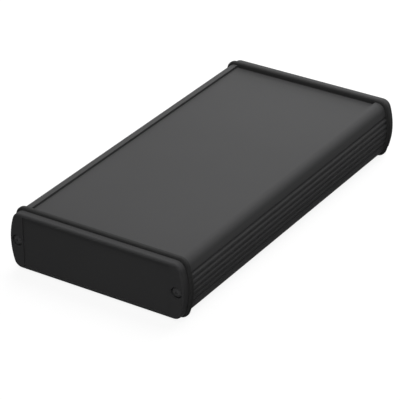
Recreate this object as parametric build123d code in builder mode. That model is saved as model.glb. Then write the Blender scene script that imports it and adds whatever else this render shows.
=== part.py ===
"""Extruded aluminium enclosure: one ribbed tube, closed at both ends by a gasket and a moulded cap.

X runs across the width, Y along the length and Z up. The origin is the centre of the footprint, on
the surface that the two gaskets stand on. The front cap faces -Y. All sizes are millimetres.
"""

import os
from math import degrees, sqrt

from build123d import *

# Body extrusion, outside
body_length = 200.0
body_width = 106.0
body_height = 31.7
side_radius = 41.0
corner_radius = 5.0
rail_inset = 8.0
panel_depth = 1.4
groove_count = 6
groove_pitch = 3.2
groove_width = 2.1
groove_depth = 0.5
groove_lip_radius = 0.5

# Body extrusion, inside
wall = 2.0
inner_corner_radius = 2.0
board_standoff = 6.0
board_slot = 1.9
guide_depth = 2.8
guide_thickness = 1.2
channel_wall = 1.9
channel_slot = 1.5

# Pan head screws
screw_inset = 4.6
screw_radius = 1.25
screw_length = 16.0
thread_clearance = 0.05
head_radius = 2.75
head_height = 2.1
head_side = 1.2
head_flat_radius = 1.5

# Gaskets
gasket_thickness = 3.0
gasket_stand = 1.3
gasket_corner_radius = 5.4
gasket_chamfer = 0.8
gasket_land = 2.75
hole_clearance = 0.4

# End caps
cap_thickness = 4.8
cap_edge_radius = 1.3
cap_back_chamfer = 0.4
label_inset = 8.5
label_margin = 0.3
label_depth = 0.9
label_backing = 2.0
head_clearance = 0.45
seat_thickness = 2.7
core_margin = 1.5
tongue_end_gap = 4.0
tongue_thickness = 1.5
tongue_reach = 3.0
tongue_clearance = 0.2

# Places that follow from the sizes
axis_height = body_height / 2 + gasket_stand
side_centre = body_width / 2 - side_radius
ceiling = body_height / 2 - panel_depth - wall
floor = wall - body_height / 2
screw_x = body_width / 2 - screw_inset
hole_radius = screw_radius + hole_clearance
body_end = body_length / 2
gasket_end = body_end + gasket_thickness
cap_end = gasket_end + cap_thickness


def section_plane(y):
    """Plane across the enclosure at y, facing the front, with its origin on the section's centre."""
    return Plane(origin=(0, y, axis_height), x_dir=(1, 0, 0), z_dir=(0, -1, 0))


def bowed_outline(stand, radius):
    """Section outline, moved out by stand: flat top and bottom, bowed sides and rounded corners."""
    half_width = body_width / 2 + stand
    half_height = body_height / 2 + stand
    corner_x = side_centre + sqrt((side_radius + stand) ** 2 - half_height**2)
    with BuildSketch() as outline:
        with BuildLine():
            Line((-corner_x, half_height), (corner_x, half_height))
            ThreePointArc((corner_x, half_height), (half_width, 0), (corner_x, -half_height))
            Line((corner_x, -half_height), (-corner_x, -half_height))
            ThreePointArc((-corner_x, -half_height), (-half_width, 0), (-corner_x, half_height))
        make_face()
        fillet(outline.vertices(), radius=radius)
    return outline.sketch


# Outer skin of the body: the bowed outline with rounded grooves along both sides
groove_radius = (groove_width**2 / 4 + groove_depth**2) / (2 * groove_depth)
groove_orbit = side_radius + groove_radius - groove_depth
groove_span = degrees((groove_count - 1) * groove_pitch / side_radius)
with BuildSketch() as skin:
    add(bowed_outline(0, corner_radius))
    plain_vertices = skin.vertices()
    for side, middle in ((1, 0), (-1, 180)):
        first = middle - groove_span / 2
        with Locations((side * side_centre, 0)):
            with PolarLocations(groove_orbit, groove_count, first, groove_span, endpoint=True):
                Circle(groove_radius, mode=Mode.SUBTRACT)
    fillet(skin.vertices() - plain_vertices, radius=groove_lip_radius)

# Hollow of the body: a plain cavity, less the board guides and the open screw channels
channel_radius = screw_radius + thread_clearance
channel_reach = channel_radius + channel_wall
guide_offset = (board_slot + guide_thickness) / 2
with BuildSketch() as hollow:
    add(bowed_outline(-wall, inner_corner_radius))
    with Locations((0, ceiling)):
        Rectangle(body_width, wall + panel_depth, align=(Align.CENTER, Align.MIN), mode=Mode.SUBTRACT)
    for side in (1, -1):
        for level in (floor + board_standoff, ceiling - board_standoff):
            inner_wall_x = side_centre + sqrt((side_radius - wall) ** 2 - level**2)
            guide_length = guide_depth + wall
            guide_x = side * (inner_wall_x - guide_depth + guide_length / 2)
            with Locations((guide_x, level + guide_offset), (guide_x, level - guide_offset)):
                Rectangle(guide_length, guide_thickness, mode=Mode.SUBTRACT)
        with Locations((side * screw_x, 0)):
            Circle(channel_reach, mode=Mode.SUBTRACT)
            Circle(channel_radius)
        with Locations((side * (screw_x - channel_reach / 2), 0)):
            Rectangle(channel_reach, channel_slot)

# Body: the whole section, with the sunk panel field along its top, extruded to length
panel_width = body_width - 2 * rail_inset
with BuildPart() as body_extrusion:
    with BuildSketch(section_plane(body_end)):
        add(skin.sketch)
        with Locations((0, body_height / 2)):
            Rectangle(panel_width, panel_depth, align=(Align.CENTER, Align.MAX), mode=Mode.SUBTRACT)
        add(hollow.sketch, mode=Mode.SUBTRACT)
    extrude(amount=body_length)

# Gasket: one rubber ring that stands proud of the body all round, with blunted edges and screw holes
opening_width = 2 * (screw_x - hole_radius - gasket_land)
with BuildPart() as front_gasket:
    with BuildSketch(section_plane(-body_end)):
        add(bowed_outline(gasket_stand, gasket_corner_radius))
    extrude(amount=gasket_thickness)
    chamfer(front_gasket.faces().filter_by(Axis.Y).edges(), length=gasket_chamfer)
    with BuildSketch(section_plane(-body_end)):
        with Locations((0, (ceiling + floor) / 2)):
            Rectangle(opening_width, ceiling - floor)
        with Locations((-screw_x, 0), (screw_x, 0)):
            Circle(hole_radius)
    extrude(amount=gasket_thickness, mode=Mode.SUBTRACT)

with BuildPart() as rear_gasket:
    add(front_gasket.part, rotation=(0, 0, 180))

# End cap: a moulded plate, flush with the body, with a rounded front edge, a blunted back edge, a sunk
# label field and sunk screw seats.
# Its back is cored out, and two tongues locate it under the roof and over the floor of the body.
label_width = body_width - 2 * label_inset
label_height = body_height - 2 * (cap_edge_radius + label_margin)
tongue_width = opening_width - 2 * tongue_end_gap
core_depth = cap_thickness - label_depth - label_backing
core_height = ceiling - floor - 2 * (tongue_clearance + tongue_thickness + core_margin)
with BuildPart() as front_end_cap:
    with BuildSketch(section_plane(-gasket_end)):
        add(bowed_outline(0, corner_radius))
    extrude(amount=cap_thickness)
    fillet(front_end_cap.faces().sort_by(Axis.Y)[0].edges(), radius=cap_edge_radius)
    chamfer(front_end_cap.faces().sort_by(Axis.Y)[-1].edges(), length=cap_back_chamfer)
    with BuildSketch(section_plane(-cap_end)):
        Rectangle(label_width, label_height)
    extrude(amount=-label_depth, mode=Mode.SUBTRACT)
    with Locations(section_plane(-cap_end)):
        with Locations((-screw_x, 0), (screw_x, 0)):
            CounterBoreHole(hole_radius, head_radius + head_clearance, cap_thickness - seat_thickness)
    with BuildSketch(section_plane(-gasket_end)):
        with Locations((0, (ceiling + floor) / 2)):
            Rectangle(tongue_width, core_height)
    extrude(amount=core_depth, mode=Mode.SUBTRACT)
    with BuildSketch(section_plane(-gasket_end)):
        for edge, inward in ((ceiling, -1), (floor, 1)):
            with Locations((0, edge + inward * (tongue_clearance + tongue_thickness / 2))):
                Rectangle(tongue_width, tongue_thickness)
    extrude(amount=-(gasket_thickness + tongue_reach))

with BuildPart() as rear_end_cap:
    add(front_end_cap.part, rotation=(0, 0, 180))

# Pan head screw along Z, with the underside of its head at the origin and a bevelled top
with BuildPart() as pan_screw:
    with BuildSketch(Plane.XZ):
        with BuildLine():
            Polyline(
                (0, head_height),
                (0, -screw_length),
                (screw_radius, -screw_length),
                (screw_radius, 0),
                (head_radius, 0),
                (head_radius, head_side),
                (head_flat_radius, head_height),
                close=True,
            )
        make_face()
    revolve(axis=Axis.Z)

pieces = {
    "body_extrusion": body_extrusion,
    "front_gasket": front_gasket,
    "rear_gasket": rear_gasket,
    "front_end_cap": front_end_cap,
    "rear_end_cap": rear_end_cap,
}

# The four screws, each with its head on the seat of its cap
seat_y = gasket_end + seat_thickness
for end, facing in (("front", -1), ("rear", 1)):
    for hand, x in (("left", -screw_x), ("right", screw_x)):
        with BuildPart() as screw:
            with Locations(Location((x, facing * seat_y, axis_height), (-facing * 90, 0, 0))):
                add(pan_screw.part)
        pieces[f"{end}_screw_{hand}"] = screw

# One file for each piece
os.makedirs("parts", exist_ok=True)
for name, piece in pieces.items():
    piece.part.label = name
    export_step(piece.part, f"parts/{name}.step")
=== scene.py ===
"""Looks of the extruded aluminium enclosure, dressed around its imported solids, in metres."""

import math

import bmesh
import bpy
from mathutils import Matrix, Vector


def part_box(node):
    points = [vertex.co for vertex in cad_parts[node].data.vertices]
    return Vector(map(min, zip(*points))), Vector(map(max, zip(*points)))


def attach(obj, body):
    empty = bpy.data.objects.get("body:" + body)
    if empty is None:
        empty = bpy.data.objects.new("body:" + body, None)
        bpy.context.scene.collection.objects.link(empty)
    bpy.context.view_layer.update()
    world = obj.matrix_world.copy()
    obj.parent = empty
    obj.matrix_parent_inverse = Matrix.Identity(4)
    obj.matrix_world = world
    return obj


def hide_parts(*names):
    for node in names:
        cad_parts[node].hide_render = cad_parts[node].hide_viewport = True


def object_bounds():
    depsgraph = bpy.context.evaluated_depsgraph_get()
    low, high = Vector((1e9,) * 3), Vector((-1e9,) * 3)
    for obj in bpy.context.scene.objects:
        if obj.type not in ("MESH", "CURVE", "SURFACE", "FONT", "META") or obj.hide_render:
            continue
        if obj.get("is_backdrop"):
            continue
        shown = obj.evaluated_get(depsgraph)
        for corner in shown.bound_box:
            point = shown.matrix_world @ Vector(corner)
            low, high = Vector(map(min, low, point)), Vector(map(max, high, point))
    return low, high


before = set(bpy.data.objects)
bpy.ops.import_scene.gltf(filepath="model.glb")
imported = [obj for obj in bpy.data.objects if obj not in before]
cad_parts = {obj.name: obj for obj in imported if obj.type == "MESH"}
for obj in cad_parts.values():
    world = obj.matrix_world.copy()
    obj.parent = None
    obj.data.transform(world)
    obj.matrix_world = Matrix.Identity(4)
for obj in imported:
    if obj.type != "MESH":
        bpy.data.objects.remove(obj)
cad_low, cad_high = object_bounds()


# Body extrusion: one length of pressed aluminium tube, matt etched and dyed black in the anodising
# bath. The die leaves faint lines along its length, and the dye is a little uneven from patch to patch.
def make_surface_grain():
    """Group: fine relief, drawn out by Stretch, and slow patches of tone, both from 0 to 1."""
    tree = bpy.data.node_groups.new("surface_grain", "ShaderNodeTree")
    tree.interface.new_socket("Stretch", in_out="INPUT", socket_type="NodeSocketVector")
    tree.interface.new_socket("Grains per metre", in_out="INPUT", socket_type="NodeSocketFloat")
    tree.interface.new_socket("Patches per metre", in_out="INPUT", socket_type="NodeSocketFloat")
    tree.interface.new_socket("Relief", in_out="OUTPUT", socket_type="NodeSocketFloat")
    tree.interface.new_socket("Tone", in_out="OUTPUT", socket_type="NodeSocketFloat")
    nodes, links = tree.nodes, tree.links
    inputs = nodes.new("NodeGroupInput")
    outputs = nodes.new("NodeGroupOutput")
    place = nodes.new("ShaderNodeTexCoord")
    drawn_out = nodes.new("ShaderNodeVectorMath")
    drawn_out.operation = "MULTIPLY"
    grain = nodes.new("ShaderNodeTexNoise")
    grain.inputs["Detail"].default_value = 3.0
    patch = nodes.new("ShaderNodeTexNoise")
    patch.inputs["Detail"].default_value = 2.0
    links.new(place.outputs["Object"], drawn_out.inputs[0])
    links.new(inputs.outputs["Stretch"], drawn_out.inputs[1])
    links.new(drawn_out.outputs["Vector"], grain.inputs["Vector"])
    links.new(inputs.outputs["Grains per metre"], grain.inputs["Scale"])
    links.new(place.outputs["Object"], patch.inputs["Vector"])
    links.new(inputs.outputs["Patches per metre"], patch.inputs["Scale"])
    links.new(grain.outputs["Fac"], outputs.inputs["Relief"])
    links.new(patch.outputs["Fac"], outputs.inputs["Tone"])
    return tree


surface_grain = make_surface_grain()
die_lines = (1.0, 0.004, 1.0)


def make_finish(name, dark, light, rough_low, rough_high, stretch, grains, patches, depth, gloss):
    """Material whose tone drifts from dark to light and whose grain roughens and embosses it."""
    finish = bpy.data.materials.new(name)
    finish.use_nodes = True
    nodes, links = finish.node_tree.nodes, finish.node_tree.links
    shader = nodes["Principled BSDF"]
    shader.inputs["Specular IOR Level"].default_value = gloss
    grain = nodes.new("ShaderNodeGroup")
    grain.node_tree = surface_grain
    grain.inputs["Stretch"].default_value = stretch
    grain.inputs["Grains per metre"].default_value = grains
    grain.inputs["Patches per metre"].default_value = patches
    tone = nodes.new("ShaderNodeMix")
    tone.data_type = "RGBA"
    tone.inputs["A"].default_value = (*dark, 1.0)
    tone.inputs["B"].default_value = (*light, 1.0)
    roughness = nodes.new("ShaderNodeMapRange")
    roughness.inputs["To Min"].default_value = rough_low
    roughness.inputs["To Max"].default_value = rough_high
    emboss = nodes.new("ShaderNodeBump")
    emboss.inputs["Distance"].default_value = depth
    links.new(grain.outputs["Tone"], tone.inputs["Factor"])
    links.new(tone.outputs["Result"], shader.inputs["Base Color"])
    links.new(grain.outputs["Relief"], roughness.inputs["Value"])
    links.new(roughness.outputs["Result"], shader.inputs["Roughness"])
    links.new(grain.outputs["Relief"], emboss.inputs["Height"])
    links.new(emboss.outputs["Normal"], shader.inputs["Normal"])
    return finish


def dress(node, finish):
    """Gives a solid its finish."""
    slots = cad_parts[node].data.materials
    slots.clear()
    slots.append(finish)


black_anodised = make_finish(
    "black_anodised",
    dark=(0.072, 0.072, 0.073),
    light=(0.080, 0.080, 0.081),
    rough_low=0.5,
    rough_high=0.62,
    stretch=die_lines,
    grains=2600.0,
    patches=18.0,
    depth=0.00001,
    gloss=0.01,
)
dress("body_extrusion", black_anodised)

# Gaskets: one moulded ring of black rubber at each end, squeezed between cap and body so that its
# proud edge bulges to a round bead. The solid's blunted edges are filled out and rounded here.
bead_round = 0.0011
bead_steps = 6
screw_hole_reach = 0.0502
opening_reach = 0.0145
even_grain = (1.0, 1.0, 1.0)
same_place = 0.000001
flat_below = math.radians(0.5)
sharp_above = math.radians(30.0)


def pick_verts(items):
    """Vertices among the mixed items that an operator gives back."""
    return [item for item in items if isinstance(item, bmesh.types.BMVert)]


def round_edges(shape, verts, radius, steps):
    """Rounds each sharp edge that runs between two of the vertices."""
    edges = [
        edge
        for edge in shape.edges
        if verts.issuperset(edge.verts) and edge.calc_face_angle(0.0) > sharp_above
    ]
    bmesh.ops.bevel(
        shape,
        geom=edges,
        offset=radius,
        offset_type="OFFSET",
        segments=steps,
        profile=0.5,
        affect="EDGES",
        clamp_overlap=True,
        material=-1,
    )


def fit_piece(name, shape, finish, node):
    """Turns a shape into a smooth piece that stands in for one solid."""
    mesh = bpy.data.meshes.new(name)
    shape.to_mesh(mesh)
    shape.free()
    mesh.materials.append(finish)
    mesh.shade_smooth()
    mesh.set_sharp_from_angle(angle=sharp_above)
    piece = bpy.data.objects.new(name, mesh)
    bpy.context.scene.collection.objects.link(piece)
    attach(piece, "root")
    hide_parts(node)


def make_bead(node):
    """Ring with the middle section of a gasket's solid, at its thickness, with rounded outer edges."""
    low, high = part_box(node)
    middle = (low + high) / 2
    thickness = high.y - low.y
    shape = bmesh.new()
    shape.from_mesh(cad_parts[node].data)
    bmesh.ops.remove_doubles(shape, verts=shape.verts, dist=same_place)
    bmesh.ops.dissolve_limit(shape, angle_limit=flat_below, verts=shape.verts, edges=shape.edges)
    bmesh.ops.bisect_plane(
        shape,
        geom=shape.verts[:] + shape.edges[:] + shape.faces[:],
        plane_co=middle,
        plane_no=(0, 1, 0),
        clear_inner=True,
        clear_outer=True,
    )
    bmesh.ops.translate(shape, verts=shape.verts, vec=(0, -thickness / 2, 0))
    bmesh.ops.triangle_fill(shape, edges=shape.edges, use_beauty=True, use_dissolve=True)
    risen = bmesh.ops.extrude_face_region(shape, geom=shape.faces[:])["geom"]
    bmesh.ops.translate(shape, verts=pick_verts(risen), vec=(0, thickness, 0))
    bmesh.ops.recalc_face_normals(shape, faces=shape.faces)

    # The outer rim lies further out than the screw holes and the opening reach
    rim = {
        vert
        for vert in shape.verts
        if abs(vert.co.x) > screw_hole_reach or abs(vert.co.z - middle.z) > opening_reach
    }
    round_edges(shape, rim, bead_round, bead_steps)
    return shape


gasket_rubber = make_finish(
    "gasket_rubber",
    dark=(0.047, 0.047, 0.047),
    light=(0.053, 0.053, 0.053),
    rough_low=0.75,
    rough_high=0.9,
    stretch=even_grain,
    grains=1500.0,
    patches=60.0,
    depth=0.00002,
    gloss=0.015,
)
for gasket in ("front_gasket", "rear_gasket"):
    fit_piece(f"{gasket}_bead", make_bead(gasket), gasket_rubber, gasket)

# End caps: moulded in black plastic, with the fine spark-eroded texture of the mould on every face.
# Each is drawn down on its gasket by two screws.
cap_plastic = make_finish(
    "cap_plastic",
    dark=(0.065, 0.065, 0.066),
    light=(0.071, 0.071, 0.072),
    rough_low=0.55,
    rough_high=0.7,
    stretch=even_grain,
    grains=2400.0,
    patches=30.0,
    depth=0.00002,
    gloss=0.015,
)
for cap in ("front_end_cap", "rear_end_cap"):
    dress(cap, cap_plastic)

# Screws: cold headed steel with a domed pan head and a pressed cross recess, blackened in a hot salt
# bath. The head sits in the sunk seat of the cap and the shank bites into the body's channel.
screw_radius = 0.00125
screw_length = 0.016
head_radius = 0.00275
head_side = 0.0012
head_height = 0.0021
rim_round = 0.0003
rim_steps = 3
cross_width = 0.00045
cross_span = 0.0018
cross_floor = 0.0016
crown_reach = head_radius / 2
turn_steps = 48
dome_steps = 8
cut_snap = 0.00001


def turn_screw():
    """Plain screw along Z, with the underside of its head at the origin."""
    dome = head_height - head_side
    dome_radius = (head_radius**2 + dome**2) / (2 * dome)
    shape = bmesh.new()
    crown = shape.verts.new((0, 0, head_height))
    arc = bmesh.ops.spin(
        shape,
        geom=[crown],
        cent=(0, 0, head_height - dome_radius),
        axis=(0, 1, 0),
        angle=math.asin(head_radius / dome_radius),
        steps=dome_steps,
    )
    last = pick_verts(arc["geom_last"])[0]

    # From the dome's edge the profile runs down the head, in to the shank, along it and in to the axis
    for step in (
        (0, 0, -head_side),
        (screw_radius - head_radius, 0, 0),
        (0, 0, -screw_length),
        (-screw_radius, 0, 0),
    ):
        last = bmesh.ops.extrude_vert_indiv(shape, verts=[last])["verts"][0]
        last.co += Vector(step)
    bmesh.ops.spin(
        shape,
        geom=shape.verts[:] + shape.edges[:],
        cent=(0, 0, 0),
        axis=(0, 0, 1),
        angle=math.tau,
        steps=turn_steps,
        use_merge=True,
    )
    bmesh.ops.remove_doubles(shape, verts=shape.verts, dist=same_place)
    bmesh.ops.recalc_face_normals(shape, faces=shape.faces)
    rim = {
        vert
        for vert in shape.verts
        if abs(vert.co.z - head_side) < same_place and abs(vert.co.xy.length - head_radius) < same_place
    }
    round_edges(shape, rim, rim_round, rim_steps)
    return shape


def press_recess(shape):
    """Scores the crown of a screw along the outlines of two crossed bars and presses the bars in."""
    for across in (Vector((1, 0, 0)), Vector((0, 1, 0))):
        for reach in (-cross_span / 2, -cross_width / 2, cross_width / 2, cross_span / 2):
            crown = []
            for face in shape.faces:
                middle = face.calc_center_median()
                if middle.z > head_side and middle.xy.length < crown_reach:
                    crown.append(face)
            # Each vertex and edge once, in a fixed order
            touched = dict.fromkeys(item for face in crown for item in (*face.verts, *face.edges))
            bmesh.ops.bisect_plane(
                shape,
                geom=[*crown, *touched],
                dist=cut_snap,
                plane_co=across * reach,
                plane_no=across,
            )
    bars = []
    for face in shape.faces:
        middle = face.calc_center_median()
        near, far = sorted((abs(middle.x), abs(middle.y)))
        if middle.z > head_side and near < cross_width / 2 and far < cross_span / 2:
            bars.append(face)
    sunk = bmesh.ops.extrude_face_region(shape, geom=bars)["geom"]
    bmesh.ops.delete(shape, geom=bars, context="FACES")
    for vert in pick_verts(sunk):
        vert.co.z = cross_floor
    bmesh.ops.recalc_face_normals(shape, faces=shape.faces)


blackened_steel = make_finish(
    "blackened_steel",
    dark=(0.083, 0.083, 0.084),
    light=(0.092, 0.092, 0.094),
    rough_low=0.4,
    rough_high=0.55,
    stretch=even_grain,
    grains=4000.0,
    patches=300.0,
    depth=0.00001,
    gloss=0.015,
)
for end, outward in (("front", -1), ("rear", 1)):
    for hand in ("left", "right"):
        node = f"{end}_screw_{hand}"
        low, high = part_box(node)
        head_top = low.y if end == "front" else high.y
        seat = (low + high) / 2
        seat.y = head_top - outward * head_height
        face_out = Matrix.Rotation(-outward * math.radians(90.0), 4, "X")
        screw = turn_screw()
        press_recess(screw)
        bmesh.ops.transform(screw, matrix=Matrix.Translation(seat) @ face_out, verts=screw.verts)
        fit_piece(f"{node}_pan_head", screw, blackened_steel, node)

# Camera: a long lens with almost no roll, looking down on the front cap and the right side. The
# enclosure's centre falls on a pixel right of and above the middle of the picture.
picture_width = 400
lens_in_pixels = 2232.3
centre_pixel_x = 210.50
centre_pixel_y = 179.29
azimuth = math.radians(32.435)
elevation = math.radians(28.416)
roll = math.radians(-0.12)
distance = 1.195
centre = (cad_low + cad_high) / 2
towards_camera = Vector(
    (
        math.sin(azimuth) * math.cos(elevation),
        -math.cos(azimuth) * math.cos(elevation),
        math.sin(elevation),
    )
)
camera = bpy.data.objects.new("camera", bpy.data.cameras.new("camera"))
camera.data.lens = lens_in_pixels / picture_width * camera.data.sensor_width
camera.data.shift_x = (picture_width / 2 - centre_pixel_x) / picture_width
camera.data.shift_y = (centre_pixel_y - picture_width / 2) / picture_width
camera.location = centre + towards_camera * distance
camera.rotation_euler = (-towards_camera).to_track_quat("-Z", "Y").to_euler()
camera.rotation_euler.rotate_axis("Z", roll)
bpy.context.scene.collection.objects.link(camera)
bpy.context.scene.camera = camera

# Floor: a wide sheet that glows white where it is seen, with the enclosure's soft shadow on it. For
# every other ray it is a dark grey, so that it throws little light back at the enclosure.
floor_size = 12.0
floor_glow = 0.9
shadowed_tone = (0.15, 0.15, 0.15, 1.0)
unseen_tone = (0.05, 0.05, 0.05, 1.0)


def add_seen_mask(tree):
    """Socket that is 1 for rays that show the surround: from the camera, a mirror or glass."""
    path = tree.nodes.new("ShaderNodeLightPath")
    mask = path.outputs["Is Camera Ray"]
    for ray in ("Is Glossy Ray", "Is Transmission Ray"):
        either = tree.nodes.new("ShaderNodeMath")
        either.operation = "MAXIMUM"
        tree.links.new(mask, either.inputs[0])
        tree.links.new(path.outputs[ray], either.inputs[1])
        mask = either.outputs["Value"]
    return mask


floor_paint = bpy.data.materials.new("floor_paint")
floor_paint.use_nodes = True
tree = floor_paint.node_tree
tree.nodes.clear()
output = tree.nodes.new("ShaderNodeOutputMaterial")
seen = tree.nodes.new("ShaderNodeAddShader")
shadowed = tree.nodes.new("ShaderNodeBsdfDiffuse")
shadowed.inputs["Color"].default_value = shadowed_tone
glow = tree.nodes.new("ShaderNodeEmission")
glow.inputs["Strength"].default_value = floor_glow
unseen = tree.nodes.new("ShaderNodeBsdfDiffuse")
unseen.inputs["Color"].default_value = unseen_tone
pick = tree.nodes.new("ShaderNodeMixShader")
tree.links.new(shadowed.outputs["BSDF"], seen.inputs[0])
tree.links.new(glow.outputs["Emission"], seen.inputs[1])
tree.links.new(add_seen_mask(tree), pick.inputs["Fac"])
tree.links.new(unseen.outputs["BSDF"], pick.inputs[1])
tree.links.new(seen.outputs["Shader"], pick.inputs[2])
tree.links.new(pick.outputs["Shader"], output.inputs["Surface"])

sheet = bmesh.new()
bmesh.ops.create_grid(sheet, x_segments=1, y_segments=1, size=floor_size / 2)
floor_mesh = bpy.data.meshes.new("floor")
sheet.to_mesh(floor_mesh)
sheet.free()
floor_mesh.materials.append(floor_paint)
floor = bpy.data.objects.new("floor", floor_mesh)
bpy.context.scene.collection.objects.link(floor)
floor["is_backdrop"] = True

# Surround: the walls of the studio, white where they are seen. For every other ray they are a dim
# even fill from all sides.
white = (1.0, 1.0, 1.0, 1.0)
fill_strength = 0.03
world = bpy.data.worlds.new("surround")
world.use_nodes = True
tree = world.node_tree
tree.nodes.clear()
output = tree.nodes.new("ShaderNodeOutputWorld")
backdrop = tree.nodes.new("ShaderNodeBackground")
backdrop.inputs["Color"].default_value = white
fill = tree.nodes.new("ShaderNodeBackground")
fill.inputs["Color"].default_value = white
fill.inputs["Strength"].default_value = fill_strength
pick = tree.nodes.new("ShaderNodeMixShader")
tree.links.new(add_seen_mask(tree), pick.inputs["Fac"])
tree.links.new(fill.outputs["Background"], pick.inputs[1])
tree.links.new(backdrop.outputs["Background"], pick.inputs[2])
tree.links.new(pick.outputs["Shader"], output.inputs["Surface"])
bpy.context.scene.world = world


# Lamps: two wide soft ones behind the rear end, one low and one high, and two weak ones above and in
# front of the front cap.
def hang_lamp(name, place, width, height, energy):
    """Oblong soft lamp that faces the enclosure."""
    lamp = bpy.data.objects.new(name, bpy.data.lights.new(name, "AREA"))
    lamp.data.shape = "RECTANGLE"
    lamp.data.size = width
    lamp.data.size_y = height
    lamp.data.energy = energy
    lamp.location = place
    lamp.rotation_euler = (centre - lamp.location).to_track_quat("-Z", "Y").to_euler()
    bpy.context.scene.collection.objects.link(lamp)


hang_lamp("low_rear_lamp", (-0.14, 1.02, 0.39), width=1.1, height=0.7, energy=11.8)
hang_lamp("high_rear_lamp", (-0.06, 0.41, 1.04), width=1.1, height=0.6, energy=8.0)
hang_lamp("top_lamp", (0.26, -0.45, 0.99), width=0.6, height=0.6, energy=2.6)
hang_lamp("front_lamp", (0.41, -0.97, 0.32), width=0.6, height=0.6, energy=2.15)

bpy.context.scene.view_settings.view_transform = "Standard"

# The box of everything dressed; the solids' own box was taken before dressing
low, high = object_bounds()
